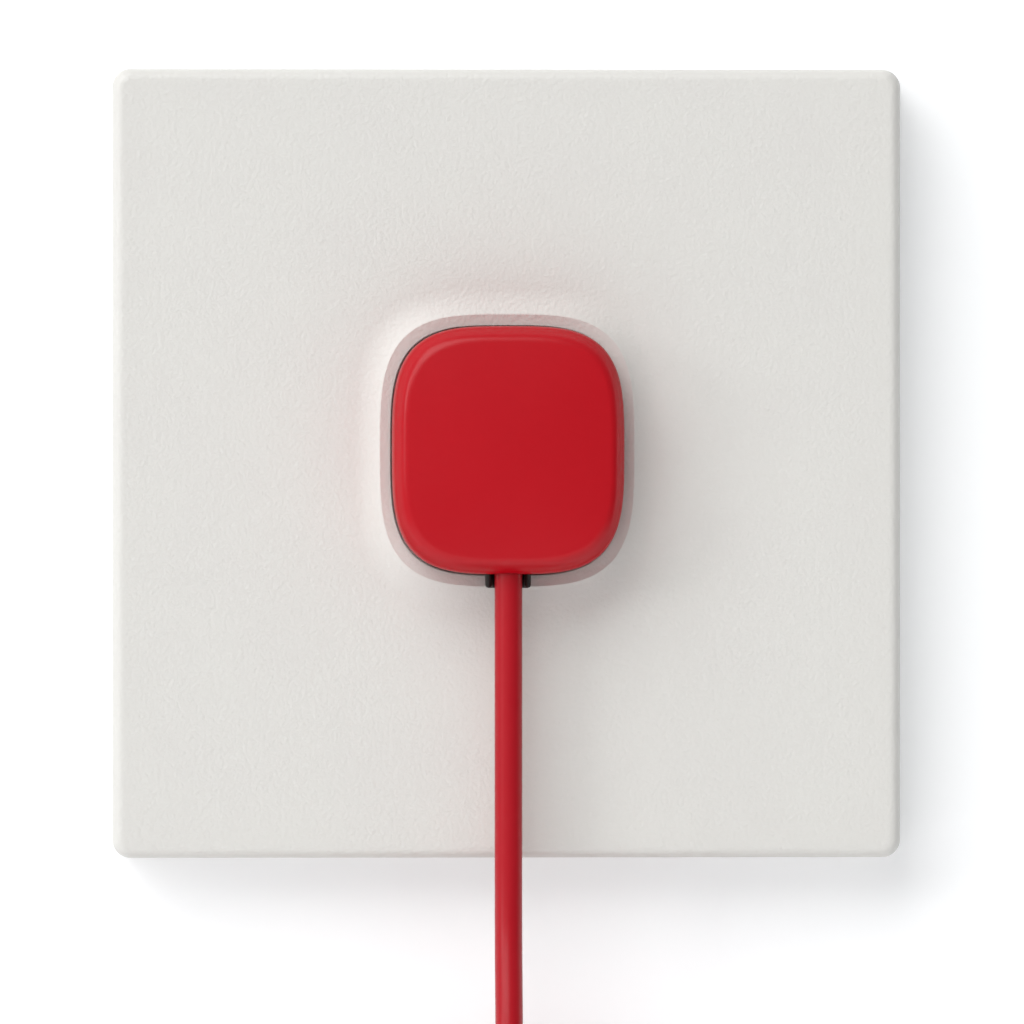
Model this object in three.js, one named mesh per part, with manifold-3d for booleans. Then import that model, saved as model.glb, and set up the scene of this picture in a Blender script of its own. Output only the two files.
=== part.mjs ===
// An emergency pull cord alarm: a flush-mounted call switch with a square white cover plate,
// a red pillow-shaped cap and a red pull cord. Pulling the cord draws the cap and its black
// carriage down against two springs, and a foot on the carriage tips the lever of a snap switch.
//
// Everything is built in the wall's own view: x to the right, h up, and d out from the wall
// towards the room. The last group turns that view so that h is +Z and d is -Y.

import * as THREE from 'three';
import { mergeVertices } from 'three/addons/utils/BufferGeometryUtils.js';
import Module from 'manifold-3d';

const wasm = await Module();
wasm.setup();

// Clearances, in millimetres.
const restGap = 0.3;          // between pieces that rest on each other
const slideGap = 0.35;        // between the carriage and what it slides past
const windowGap = 0.6;        // round the carriage's neck and the terminals in their windows
const boreGap = 0.3;          // round a screw's shank or a pin
const slotGap = 0.4;          // round a box screw in its slot
const tieGap = 0.5;           // round the coil in its ties

// Cover plate.
const plateSide = 80;
const plateDepth = 10;
const plateFrontWall = 1.8;
const plateSideWall = 1.8;
const plateCorner = 1.85;     // corner seen from the front
const plateEdge = 1.1;        // rounding of the front edge

// Red cap, a pillow on a superellipse outline.
const capWidth = 23.7;
const capHeight = 25.3;
const capCentre = 1.4;        // above the plate's centre
const capSquareness = 3.5;    // exponent of the outline
const capRise = 7.1;          // from the rim to the edge of the front face
const capCrown = 0.7;         // how far the front face bulges
const capWall = 1.4;
const capRollWidth = 1.6;     // rounded edge, seen from the front
const capRollDepth = 3;       // the same edge, seen from the side
const capRim = 0.25;          // small rounding at the rear rim
const capCurve = 72;          // sides of the outline

// Soft collar moulded round the cap, and the sunk seat inside it.
const collarOffset = 1.05;    // crest, outside the cap's outline
const collarRise = 0.75;
const collarSlope = 2.6;      // width of the outer slope
const collarSteps = 7;
const collarRoot = 0.4;       // how deep the collar runs into the plate
const collarDip = 0.2;        // from the crest down to the ledge beside the cap
const collarSlit = 0.12;      // between the ledge and the cap, seen from the front
const seatDepth = 0.5;

// Mounting frame of sheet steel, on the wall.
const frameInset = 2.7;       // inside the cover plate's side walls
const frameThickness = 1.2;
const frameCorner = 4;
const boxScrewSpacing = 60;   // between the screws of a flush box
const slotLength = 9;

// Insert: the housing that goes into the flush box.
const housingSide = 40;
const housingCorner = 4;
const housingWall = 1.6;
const housingDepth = 14;      // behind the wall's face
const flangeWidth = 3.5;      // round the housing
const flangeThickness = 1.2;
const flangeScrewX = 14;
const rearCoverThickness = 1.2;

// Circuit board.
const boardInset = 1.4;       // inside the housing's walls
const boardThickness = 1.6;
const boardPostLength = 0.6;
const boardPostRadius = 2;
const boardPostInset = 3;     // from the board's edges

// Carriage: the slider on the deck, the neck through the plate and the head in the cap.
const pullTravel = 2;
const sliderWidth = 28;
const sliderHeight = 10;
const sliderBottom = -3;
const sliderThickness = 3.4;
const neckWidth = 10;
const neckHeight = 9;
const headSideRoom = 2.95;    // between the head and the cap's side walls
const headTopRoom = 3.25;
const headBottomRoom = 1.75;
const headLugHeight = 4;
const headFloor = 1.4;        // below the pocket
const footWidth = 1.2;
const footLength = 2;
const footX = -3;
const footReach = 1.2;        // in front of the switch's middle
const lipLength = 1.35;       // of the cord guide, below the cap
const lipWall = 0.575;

// Guide cover: the bridge that keeps the slider on the deck.
const guideThickness = 1.2;
const guideTopMargin = 2;     // beyond the slider
const guideBottomMargin = 1;  // beyond the spring shelves
const guideFootLength = 4.4;
const guideScrewH = -3.5;

// Return springs.
const springInset = 3;        // from the slider's ends
const springRadius = 1.6;     // outside
const springWire = 0.4;
const springTurns = 7;
const springRest = 9.4;       // length with the cord at rest
const springPegGap = 0.35;    // between the spring and its pegs
const springPegLength = 1.6;
const shelfWidth = 5;
const shelfHeight = 2;

// Snap switch.
const switchWidth = 12.8;
const switchHeight = 6.5;
const switchThickness = 5.5;
const leverPivotX = 5.2;
const leverPivotRise = 0.9;   // above the switch's top
const leverLength = 10.8;
const leverThickness = 0.3;
const leverWidth = 3.2;
const leverAngle = 12;        // degrees above level, at rest
const leverEyeRadius = 0.55;
const leverPinRadius = 0.35;
const pivotSides = 32;        // of the pin, the eye and their bore
const earWidth = 2.2;
const earThickness = 0.8;
const plungerX = 1;
const plungerWidth = 1.4;
const plungerBreadth = 2.8;
const plungerLength = 3.2;
const plungerBoreSpare = 1.3; // below the plunger at rest

// Terminal block.
const poleCount = 4;
const polePitch = 5;
const terminalEnd = 0.5;      // of the block, beyond the outer poles
const terminalInset = 3.5;    // above the board's lower edge
const terminalHeight = 8.6;
const wireHoleSide = 2.8;
const wireHoleDepth = 6;
const terminalRim = 1;        // between a hole and the block's edge
const terminalScrewRadius = 1.3;
const terminalScrewLength = 4;
const terminalScrewSunk = 1;

// Cord, its crimped end, its coil and its hand grip.
const cordDiameter = 2.8;
const cordInset = 3.7;        // its axis, in front of the cap's rim
const cordSides = 8;
const ferruleWall = 0.4;
const ferruleLength = 6;
const ferruleTopWall = 1;
const coilInnerTurn = 11.3;   // radius of the innermost turn
const coilLayers = 4;
const coilTurnsAcross = 5;
const coilCentre = -86;
const coilChamfer = 1;
const tieWidth = 4;
const tieThickness = 0.8;
const upperTieAngle = 125;    // degrees, from +x towards +h
const lowerTieAngle = 232;
const gripTop = -124;
const gripLength = 24;
const gripNeckRadius = 4;
const gripRadius = 7;
const gripRoomDepth = 8;      // of the hollow that hides the knot
const gripRoomGap = 1.4;      // round the knot
const knotRadius = 3;
const knotHeight = 5;

// Screws.
const boxScrewShank = 1.6;
const boxScrewHead = 3;
const boxScrewHeadHeight = 2;
const boxScrewLength = 20;
const smallScrewShank = 0.95;
const smallScrewHead = 1.6;
const smallScrewHeadHeight = 1;
const flangeScrewLength = 2.7;
const guideScrewLength = 2.4;
const driverSlotWidth = 0.6;
const driverSlotShare = 0.5;  // of the head's height

// Cover plate latches, moulded on the inside.
const latchX = 9;
const latchInset = 1.9;       // outside the flange
const latchWidth = 5;
const latchThickness = 1.6;
const latchBarb = 0.9;
const latchBarbLength = 1.2;

// Levels out from the wall, worked out from the sizes above.
const plateInside = plateDepth - plateFrontWall;
const crestDepth = plateDepth + collarRise;
const seatFloor = plateDepth - seatDepth;
const capRimDepth = crestDepth + slideGap;
const capFrontDepth = capRimDepth + capRise;
const capInsideDepth = capFrontDepth - capWall;
const flangeBack = frameThickness + restGap;
const deckDepth = flangeBack + flangeThickness;
const sliderBack = deckDepth + restGap;
const sliderFront = sliderBack + sliderThickness;
const sliderMiddle = (sliderBack + sliderFront) / 2;
const guideBack = sliderFront + restGap;
const guideFront = guideBack + guideThickness;
const guideFootTop = sliderBack + guideThickness;
const boardFront = flangeBack - boardPostLength - restGap;
const boardBack = boardFront - boardThickness;
const switchBack = boardFront + restGap;
const switchFront = switchBack + switchThickness;
const switchMiddle = (switchBack + switchFront) / 2;
const rearCoverFront = -housingDepth + rearCoverThickness;
const terminalBack = -housingDepth + restGap;
const terminalScrewFront = terminalBack + terminalScrewSunk + terminalScrewLength;
const cordDepth = capRimDepth + cordInset;

// Widths and places in the wall's view.
const frameSide = plateSide - 2 * plateSideWall - 2 * frameInset;
const slotWidth = 2 * (boxScrewShank + slotGap);
const flangeSide = housingSide + 2 * flangeWidth;
const flangeScrewH = (housingSide + flangeWidth) / 2;
const boardSide = housingSide - 2 * housingWall - 2 * boardInset;
const boardPostPlace = boardSide / 2 - boardPostInset;
const guideInside = sliderWidth / 2 + slideGap;
const guideOutside = guideInside + guideThickness;
const guideFootReach = guideOutside + guideFootLength;
const guideScrewX = guideOutside + guideFootLength / 2;
const latchH = flangeSide / 2 + latchInset + latchThickness / 2;
const springX = sliderWidth / 2 - springInset;
const springPegRadius = springRadius - springWire - springPegGap;
const sliderTop = sliderBottom + sliderHeight;
const neckBottom = sliderBottom;
const neckTop = neckBottom + neckHeight;
const shelfTop = sliderBottom - 2 * restGap - springRest;
const guideTop = sliderTop + guideTopMargin;
const guideBottom = shelfTop - shelfHeight - guideBottomMargin;
const terminalHalf = (poleCount * polePitch) / 2 + terminalEnd;
const terminalTop = terminalInset + terminalHeight - boardSide / 2;
const wireRow = terminalTop - terminalHeight + terminalRim + wireHoleSide / 2;
const screwRow = terminalTop - terminalRim - terminalScrewRadius;

// The switch hangs on the lever: its top is where the lever just clears the carriage's foot.
const leverSlope = Math.tan(THREE.MathUtils.degToRad(leverAngle));
const leverHalf = leverThickness / 2 / Math.cos(THREE.MathUtils.degToRad(leverAngle));
const leverRise = (x) => leverPivotRise + (leverPivotX - x) * leverSlope;
const switchTop = sliderBottom - footLength - restGap - leverRise(footX - footWidth / 2) - leverHalf;
const plungerTop = switchTop + leverRise(plungerX + plungerWidth / 2) - leverHalf - restGap;

// The head in the cap, its pocket, and the cord with what is on it.
const cordRadius = cordDiameter / 2;
const cordPassage = cordRadius + restGap;
const capBottom = capCentre - capHeight / 2;
const headHalf = capWidth / 2 - capWall - headSideRoom;
const headTop = capCentre + capHeight / 2 - capWall - headTopRoom;
const headLow = capBottom + capWall + headBottomRoom;
const headFront = capInsideDepth - restGap;
const ledge = headLow + headFloor;
const ferruleRadius = cordPassage + ferruleWall;
const ferruleBottom = ledge + restGap;
const cordTop = ferruleBottom + ferruleLength - ferruleTopWall - restGap;
const coilInside = coilInnerTurn - cordRadius;
const coilOutside = coilInnerTurn + (coilLayers - 1) * cordDiameter + cordRadius;
const coilHalfWidth = (coilTurnsAcross * cordDiameter) / 2;
const strandDepth = cordDepth + coilHalfWidth + restGap + cordRadius;
const gripRoomRadius = knotRadius + gripRoomGap;
const knotTop = gripTop - gripLength + gripRoomDepth - restGap;

const white = { color: 0xe6e3de, roughness: 0.45, metalness: 0 };
const red = { color: 0xb81d2b, roughness: 0.38, metalness: 0 };
const black = { color: 0x1c1412, roughness: 0.5, metalness: 0 };
const grey = { color: 0x8f9396, roughness: 0.55, metalness: 0 };
const steel = { color: 0xb9bcc0, roughness: 0.35, metalness: 1 };
const brass = { color: 0xb5924c, roughness: 0.35, metalness: 1 };
const green = { color: 0x2f6b45, roughness: 0.5, metalness: 0 };

// The model's root turns d out from the wall into -Y.
const model = new THREE.Group();
const wallView = new THREE.Group();
wallView.rotation.x = Math.PI / 2;
model.add(wallView);

function addPiece(name, geometry, finish) {
  const mesh = new THREE.Mesh(geometry, new THREE.MeshStandardMaterial(finish));
  mesh.name = name;
  wallView.add(mesh);
}

// Joining and cutting: a closed geometry as a solid, and a solid back as a geometry.
function solid(geometry) {
  const bare = geometry.clone();
  bare.deleteAttribute('normal');
  bare.deleteAttribute('uv');
  const merged = mergeVertices(bare, 1e-4);
  return new wasm.Manifold(new wasm.Mesh({
    numProp: 3,
    vertProperties: new Float32Array(merged.attributes.position.array),
    triVerts: new Uint32Array(merged.index.array),
  }));
}

function geometryOf(shape) {
  const mesh = shape.getMesh();
  const geometry = new THREE.BufferGeometry();
  geometry.setAttribute('position', new THREE.BufferAttribute(mesh.vertProperties, 3));
  geometry.setIndex(new THREE.BufferAttribute(mesh.triVerts, 1));
  return geometry;
}

function join(base, ...others) {
  return others.reduce((whole, other) => whole.add(solid(other)), base);
}

function cut(base, ...others) {
  return others.reduce((rest, other) => rest.subtract(solid(other)), base);
}

// A block between two corners, given as pairs along x, h and d.
function block([x0, x1], [h0, h1], [d0, d1]) {
  const geometry = new THREE.BoxGeometry(x1 - x0, h1 - h0, d1 - d0);
  return geometry.translate((x0 + x1) / 2, (h0 + h1) / 2, (d0 + d1) / 2);
}

// A round bar out from the wall, or along h.
function rod(radius, x, h, [d0, d1], sides = 16) {
  const geometry = new THREE.CylinderGeometry(radius, radius, d1 - d0, sides);
  return geometry.rotateX(Math.PI / 2).translate(x, h, (d0 + d1) / 2);
}

function uprightRod(radius, x, [h0, h1], d, sides = 16) {
  const geometry = new THREE.CylinderGeometry(radius, radius, h1 - h0, sides);
  return geometry.translate(x, (h0 + h1) / 2, d);
}

function roundedSquare(side, corner) {
  const half = side / 2;
  const straight = half - corner;
  const shape = new THREE.Shape();
  shape.moveTo(-straight, -half);
  shape.lineTo(straight, -half);
  shape.absarc(straight, -straight, corner, -Math.PI / 2, 0, false);
  shape.lineTo(half, straight);
  shape.absarc(straight, straight, corner, 0, Math.PI / 2, false);
  shape.lineTo(-straight, half);
  shape.absarc(-straight, straight, corner, Math.PI / 2, Math.PI, false);
  shape.lineTo(-half, -straight);
  shape.absarc(-straight, -straight, corner, Math.PI, Math.PI * 1.5, false);
  return shape;
}

function plate(side, corner, [d0, d1]) {
  const settings = { depth: d1 - d0, bevelEnabled: false, curveSegments: 5 };
  return new THREE.ExtrudeGeometry(roundedSquare(side, corner), settings).translate(0, 0, d0);
}

// A slot with round ends, through the sheet, along x or along h.
function slot(width, length, x, h, [d0, d1], upright) {
  const radius = width / 2;
  const run = length / 2 - radius;
  const shape = new THREE.Shape();
  shape.absarc(run, 0, radius, -Math.PI / 2, Math.PI / 2, false);
  shape.absarc(-run, 0, radius, Math.PI / 2, Math.PI * 1.5, false);
  const settings = { depth: d1 - d0, bevelEnabled: false, curveSegments: 6 };
  const geometry = new THREE.ExtrudeGeometry(shape, settings);
  if (upright) geometry.rotateZ(Math.PI / 2);
  return geometry.translate(x, h, d0);
}

// A profile of [radius, d] points turned about the d axis.
function turned(points, segments) {
  const profile = points.map(([radius, d]) => new THREE.Vector2(radius, d));
  return new THREE.LatheGeometry(profile, segments).rotateX(Math.PI / 2);
}

// How far the superellipse reaches beyond the circle in a direction.
function outlineStretch(cosine, sine) {
  const sum = Math.abs(cosine) ** capSquareness + Math.abs(sine) ** capSquareness;
  return sum ** (-1 / capSquareness);
}

// A profile turned about the d axis, with its circles drawn out to the cap's outline. A radius of
// half the cap's width lies on that outline.
function capForm(points) {
  const geometry = turned(points, capCurve);
  const position = geometry.attributes.position;
  for (let i = 0; i < position.count; i += 1) {
    const x = position.getX(i);
    const h = position.getY(i);
    const radius = Math.hypot(x, h);
    const stretch = radius > 0 ? outlineStretch(x / radius, h / radius) : 1;
    position.setXY(i, x * stretch, (h * stretch * capHeight) / capWidth + capCentre);
  }
  return geometry;
}

// Cover plate: a shallow moulded tray with a rounded front edge, the collar round the cap, the
// window for the carriage's neck and four latches that snap into the mounting frame.
function coverPlate() {
  const outline = roundedSquare(plateSide, plateCorner);
  const edge = {
    depth: plateDepth,
    bevelThickness: plateEdge,
    bevelSize: plateEdge,
    bevelOffset: -plateEdge,
    bevelSegments: 5,
    curveSegments: 5,
  };
  const outer = solid(new THREE.ExtrudeGeometry(outline, edge).translate(0, 0, -plateEdge));
  const behindWall = block([-plateSide, plateSide], [-plateSide, plateSide], [-plateDepth, 0]);
  const inner = plate(plateSide - 2 * plateSideWall, plateCorner / 2, [-1, plateInside]);
  const half = capWidth / 2;
  const above = plateDepth + 1;
  const seat = capForm([[0, seatFloor], [half, seatFloor], [half, above], [0, above]]);
  const shell = join(cut(outer, behindWall, inner, seat), collar());
  const latches = [];
  for (const x of [-latchX, latchX]) {
    latches.push(latch(x, 1), latch(x, -1));
  }
  return geometryOf(cut(join(shell, ...latches), neckWindow([plateInside - 1, above])));
}

// Room for the carriage's neck and its travel, through a wall.
function neckWindow(levels) {
  return block(
    [-neckWidth / 2 - windowGap, neckWidth / 2 + windowGap],
    [neckBottom - pullTravel - windowGap, neckTop + windowGap],
    levels,
  );
}

// The collar's section: a trumpet slope outside, a crest, and a ledge that dips towards the cap.
function collar() {
  const crest = capWidth / 2 + collarOffset;
  const inner = capWidth / 2 + collarSlit;
  const outer = crest + collarSlope + collarRoot;
  const root = seatFloor - collarRoot;
  const points = [[inner, root], [outer, root], [outer, plateDepth - collarRoot / 10]];
  for (let i = 0; i <= collarSteps; i += 1) {
    const climb = i / collarSteps;
    points.push([crest + collarSlope * (1 - climb), plateDepth + collarRise * climb ** 2]);
  }
  points.push([inner, crestDepth - collarDip], [inner, root]);
  return capForm(points);
}

function latch(x, side) {
  const inward = side * (latchH - latchThickness / 2);
  const outward = side * (latchH + latchThickness / 2);
  const barb = outward + side * latchBarb;
  const across = [x - latchWidth / 2, x + latchWidth / 2];
  const leg = block(across, [Math.min(inward, outward), Math.max(inward, outward)],
    [-restGap - latchBarbLength, plateInside + plateFrontWall / 2]);
  const hook = block(across, [Math.min(inward, barb), Math.max(inward, barb)],
    [-restGap - latchBarbLength, -restGap]);
  return geometryOf(join(solid(leg), hook));
}

// Red cap: one moulded shell, open at the back, with a notch at the bottom for the cord and the
// guide lip behind it.
function redCap() {
  const half = capWidth / 2;
  const face = half - capRollWidth;
  const crownAt = (radius) => capCrown * (1 - (radius / half) ** 2);
  const points = [[0, capFrontDepth + capCrown]];
  for (const share of [0.3, 0.6, 0.85]) {
    points.push([face * share, capFrontDepth + crownAt(face * share)]);
  }
  const rollSteps = 6;
  const shoulder = capFrontDepth + crownAt(face) - capRollDepth;
  for (let i = 0; i <= rollSteps; i += 1) {
    const angle = (i / rollSteps) * (Math.PI / 2);
    points.push([face + capRollWidth * Math.sin(angle), shoulder + capRollDepth * Math.cos(angle)]);
  }
  points.push([half, capRimDepth + capRim], [half - capRim, capRimDepth]);
  const insideHalf = half - capWall;
  points.push([insideHalf, capRimDepth], [insideHalf, capInsideDepth - capWall / 2]);
  points.push([insideHalf - capWall / 2, capInsideDepth + crownAt(insideHalf)]);
  for (const share of [0.6, 0.3]) {
    points.push([insideHalf * share, capInsideDepth + crownAt(insideHalf * share)]);
  }
  points.push([0, capInsideDepth + capCrown]);
  const shell = solid(capForm(points.reverse()));
  const lipRoom = cordPassage + lipWall + restGap;
  const throughWall = [capBottom - 1, capBottom + capWall + 1];
  const lipNotch = block([-lipRoom, lipRoom], throughWall, [capRimDepth - 1, cordDepth + restGap]);
  const cordHole = uprightRod(cordPassage, 0, throughWall, cordDepth, 24);
  return geometryOf(cut(shell, lipNotch, cordHole));
}

// Pull carriage: one black moulding. The slider runs on the deck, the neck passes through both
// windows, and the head fills the cap and holds the cord's crimped end in a pocket.
function pullCarriage() {
  const halfSlider = sliderWidth / 2;
  const halfNeck = neckWidth / 2;
  const lipHalf = cordPassage + lipWall;
  const lipEnd = capBottom - lipLength;
  const slider = block([-halfSlider, halfSlider], [sliderBottom, sliderTop], [sliderBack, sliderFront]);
  const neck = block([-halfNeck, halfNeck], [neckBottom, neckTop], [sliderFront - 1, capRimDepth + 1]);
  const head = block([-headHalf, headHalf], [headLow, headTop], [capRimDepth, headFront]);
  const lugReach = capWidth / 2 - capWall - restGap;
  const lug = block(
    [-lugReach, lugReach],
    [capCentre - headLugHeight / 2, capCentre + headLugHeight / 2],
    [capRimDepth, headFront - capWall],
  );
  const foot = block(
    [footX - footWidth / 2, footX + footWidth / 2],
    [sliderBottom - footLength, sliderBottom + 1],
    [sliderBack, switchMiddle + footReach],
  );
  const lip = block([-lipHalf, lipHalf], [lipEnd, headLow + 1], [capRimDepth, cordDepth]);
  const pegs = [-springX, springX].map((x) => uprightRod(
    springPegRadius, x, [sliderBottom - springPegLength, sliderBottom + 1], sliderMiddle, 12));
  const pocketHalf = ferruleRadius + restGap;
  const pocket = block([-pocketHalf, pocketHalf], [ledge, ledge + ferruleLength + 2 * restGap],
    [cordDepth - pocketHalf, headFront + 1]);
  const channelRun = [lipEnd - 1, ledge + 1];
  const channel = uprightRod(cordPassage, 0, channelRun, cordDepth, 24);
  const mouth = block([-cordPassage, cordPassage], channelRun, [cordDepth, headFront + 1]);
  const whole = join(solid(slider), neck, head, lug, foot, lip, ...pegs);
  return geometryOf(cut(whole, pocket, channel, mouth));
}

// Insert housing: a tub open at the rear whose front wall is the deck that the carriage slides
// on, with a flange all round, spring shelves and an opening for the switch.
function insertHousing() {
  const tub = solid(plate(housingSide, housingCorner, [-housingDepth, flangeBack + flangeThickness / 2]));
  const inside = plate(housingSide - 2 * housingWall, housingCorner - housingWall,
    [-housingDepth - 1, flangeBack]);
  const flange = plate(flangeSide, housingCorner, [flangeBack, deckDepth]);
  const shelves = [];
  for (const x of [-springX, springX]) {
    shelves.push(block([x - shelfWidth / 2, x + shelfWidth / 2], [shelfTop - shelfHeight, shelfTop],
      [deckDepth - flangeThickness / 2, sliderFront]));
    shelves.push(uprightRod(springPegRadius, x, [shelfTop - 1, shelfTop + springPegLength],
      sliderMiddle, 12));
  }
  const posts = corners(boardPostPlace).map(([x, h]) => rod(
    boardPostRadius, x, h, [boardFront + restGap, flangeBack + flangeThickness / 2]));
  const switchRoom = block(
    [-switchWidth / 2 - slideGap, switchWidth / 2 + slideGap],
    [switchTop - switchHeight - slideGap, sliderBottom - footLength + windowGap],
    [flangeBack - 1, deckDepth + 1],
  );
  const through = [flangeBack - 1, deckDepth + 1];
  const flangeHoles = screwPlaces(flangeScrewX, flangeScrewH).map(([x, h]) => rod(
    smallScrewShank + boreGap, x, h, through, 12));
  const guideHoles = [-guideScrewX, guideScrewX].map((x) => rod(
    smallScrewShank + boreGap, x, guideScrewH, through, 12));
  const body = join(cut(join(tub, flange), inside), ...shelves, ...posts);
  return geometryOf(cut(body, switchRoom, ...flangeHoles, ...guideHoles));
}

function corners(place) {
  return [[place, place], [-place, place], [-place, -place], [place, -place]];
}

function screwPlaces(x, h) {
  return [[-x, h], [x, h], [-x, -h], [x, -h]];
}

// Guide cover: a bridge with two feet, screwed to the deck over the slider.
function guideCover() {
  const side = [[guideInside, guideBack], [guideInside, sliderBack], [guideFootReach, sliderBack],
    [guideFootReach, guideFootTop], [guideOutside, guideFootTop], [guideOutside, guideFront]];
  const section = new THREE.Shape();
  section.moveTo(-guideInside, guideBack);
  for (const [x, d] of side) section.lineTo(x, d);
  for (const [x, d] of side.slice(1).reverse()) section.lineTo(-x, d);
  const settings = { depth: guideTop - guideBottom, bevelEnabled: false };
  const bridge = new THREE.ExtrudeGeometry(section, settings).rotateX(Math.PI / 2);
  bridge.translate(0, guideTop, 0);
  const holes = [-guideScrewX, guideScrewX].map((x) => rod(
    smallScrewShank + boreGap, x, guideScrewH, [sliderBack - 1, guideFootTop + 1], 12));
  return geometryOf(cut(solid(bridge), neckWindow([guideBack - 1, guideFront + 1]), ...holes));
}

// Mounting frame: punched sheet steel with the insert's opening, four slots for box screws,
// the flange's screw holes and a slot for each latch.
function mountingFrame() {
  const sheet = [0, frameThickness];
  const through = [-1, frameThickness + 1];
  const opening = plate(housingSide + 2 * slideGap, housingCorner + slideGap, through);
  const reach = boxScrewSpacing / 2;
  const screwSlots = [
    slot(slotWidth, slotLength, -reach, 0, through, true),
    slot(slotWidth, slotLength, reach, 0, through, true),
    slot(slotWidth, slotLength, 0, reach, through, false),
    slot(slotWidth, slotLength, 0, -reach, through, false),
  ];
  const flangeHoles = screwPlaces(flangeScrewX, flangeScrewH).map(([x, h]) => rod(
    smallScrewShank + boreGap, x, h, through, 12));
  const latchSlots = screwPlaces(latchX, latchH).map(([x, h]) => block(
    [x - latchWidth / 2 - restGap, x + latchWidth / 2 + restGap],
    [h - latchThickness / 2 - restGap, h + latchThickness / 2 + restGap],
    through,
  ));
  const blank = solid(plate(frameSide, frameCorner, sheet));
  return geometryOf(cut(blank, opening, ...screwSlots, ...flangeHoles, ...latchSlots));
}

// Rear cover: closes the tub, presses the board against its posts with four pillars, and leaves
// the terminal block open.
function rearCover() {
  const side = housingSide - 2 * housingWall - 2 * restGap;
  const lid = solid(plate(side, housingCorner - housingWall, [-housingDepth, rearCoverFront]));
  const pillars = corners(boardPostPlace).map(([x, h]) => rod(
    boardPostRadius, x, h, [rearCoverFront - rearCoverThickness / 2, boardBack - restGap]));
  const terminalWindow = block(
    [-terminalHalf - windowGap, terminalHalf + windowGap],
    [terminalTop - terminalHeight - windowGap, terminalTop + windowGap],
    [-housingDepth - 1, rearCoverFront + 1],
  );
  return geometryOf(cut(join(lid, ...pillars), terminalWindow));
}

function circuitBoard() {
  const across = [-boardSide / 2, boardSide / 2];
  return block(across, across, [boardBack, boardFront]);
}

// Terminal block: one moulding with a square wire hole and a round screw well for each pole.
function terminalBlock() {
  const body = block([-terminalHalf, terminalHalf], [terminalTop - terminalHeight, terminalTop],
    [terminalBack, boardBack - restGap]);
  const holes = [];
  for (let pole = 0; pole < poleCount; pole += 1) {
    const x = poleX(pole);
    holes.push(block([x - wireHoleSide / 2, x + wireHoleSide / 2],
      [wireRow - wireHoleSide / 2, wireRow + wireHoleSide / 2],
      [terminalBack - 1, terminalBack + wireHoleDepth]));
    holes.push(rod(terminalScrewRadius + boreGap, x, screwRow,
      [terminalBack - 1, terminalScrewFront + restGap], 12));
  }
  return geometryOf(cut(solid(body), ...holes));
}

function poleX(pole) {
  return (pole - (poleCount - 1) / 2) * polePitch;
}

function terminalScrew(pole) {
  const x = poleX(pole);
  const back = terminalBack + terminalScrewSunk;
  const screw = solid(rod(terminalScrewRadius, x, screwRow, [back, terminalScrewFront], 12));
  const driverSlot = block([x - terminalScrewRadius - 1, x + terminalScrewRadius + 1],
    [screwRow - driverSlotWidth / 2, screwRow + driverSlotWidth / 2], [back - 1, back + driverSlotWidth]);
  return geometryOf(cut(screw, driverSlot));
}

// A slotted screw whose head sits at the level seat.
function slottedScrew([shank, length], [head, headHeight], [x, h], seat) {
  const screw = join(
    solid(rod(head, x, h, [seat, seat + headHeight])),
    rod(shank, x, h, [seat - length, seat + headHeight / 2], 12),
  );
  const driverSlot = block([x - head - 1, x + head + 1],
    [h - driverSlotWidth / 2, h + driverSlotWidth / 2],
    [seat + headHeight * (1 - driverSlotShare), seat + headHeight + 1]);
  return geometryOf(cut(screw, driverSlot));
}

// Snap switch: a sealed body with two ears for the lever's pin and a bore for the plunger.
function switchBody() {
  const half = switchWidth / 2;
  const body = block([-half, half], [switchTop - switchHeight, switchTop], [switchBack, switchFront]);
  const earPlace = leverWidth / 2 + restGap + earThickness / 2;
  const ears = [switchMiddle - earPlace, switchMiddle + earPlace].map((middle) => block(
    [leverPivotX - earWidth / 2, leverPivotX + earWidth / 2],
    [switchTop - 1, switchTop + leverPivotRise + earWidth / 2],
    [middle - earThickness / 2, middle + earThickness / 2],
  ));
  const pinHole = rod(leverPinRadius + boreGap, leverPivotX, switchTop + leverPivotRise,
    [switchBack - 1, switchFront + 1], pivotSides);
  const plungerBore = block(
    [plungerX - plungerWidth / 2 - boreGap, plungerX + plungerWidth / 2 + boreGap],
    [plungerTop - plungerLength - plungerBoreSpare, switchTop + 1],
    [switchMiddle - plungerBreadth / 2 - boreGap, switchMiddle + plungerBreadth / 2 + boreGap],
  );
  return geometryOf(cut(join(solid(body), ...ears), pinHole, plungerBore));
}

// The lever: a strip of spring steel on a pin, tipped up until the carriage's foot comes down.
function switchLever() {
  const half = leverWidth / 2;
  const pinHalf = half + restGap + earThickness;
  const strip = block([-leverLength, 0], [-leverThickness / 2, leverThickness / 2], [-half, half]);
  const eye = rod(leverEyeRadius, 0, 0, [-half, half], pivotSides);
  const pin = rod(leverPinRadius, 0, 0, [-pinHalf, pinHalf], pivotSides);
  const geometry = geometryOf(join(solid(strip), eye, pin));
  geometry.rotateZ(-THREE.MathUtils.degToRad(leverAngle));
  return geometry.translate(leverPivotX, switchTop + leverPivotRise, switchMiddle);
}

function switchPlunger() {
  return block([plungerX - plungerWidth / 2, plungerX + plungerWidth / 2],
    [plungerTop - plungerLength, plungerTop],
    [switchMiddle - plungerBreadth / 2, switchMiddle + plungerBreadth / 2]);
}

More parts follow.
